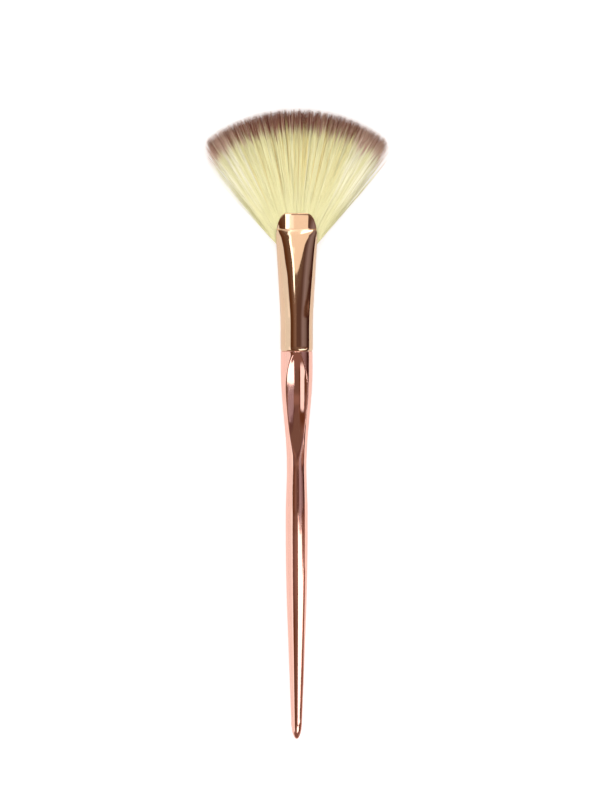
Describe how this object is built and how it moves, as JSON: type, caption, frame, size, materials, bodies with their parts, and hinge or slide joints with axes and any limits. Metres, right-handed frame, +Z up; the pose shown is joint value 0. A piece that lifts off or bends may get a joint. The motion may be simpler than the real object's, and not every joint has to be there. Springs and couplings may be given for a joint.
{
  "type": "highlighter brush",
  "caption": "Slim makeup brush with a flat fan of soft bristles, a tube ferrule pressed flat at its mouth, and a scooped, tapering handle.",
  "frame": {"origin": "middle of the brush's box, on the surface that it lies on", "axes": "+Y from the handle's tip towards the fan, +Z up out of the front of the brush, +X across the fan; the brush lies on its back, so its own axis rises towards the fan by about 1.4 degrees"},
  "size_m": [0.0555, 0.1886, 0.01],
  "materials": {
    "handle": "polished",
    "ferrule": "polished",
    "bristle": "matte",
    "glue": "satin"
  },
  "bodies": {
    "root": {"handle": "handle", "ferrule": "ferrule", "bristle_fan": "bristle", "glue_plug": "glue"}
  },
  "joints": []
}
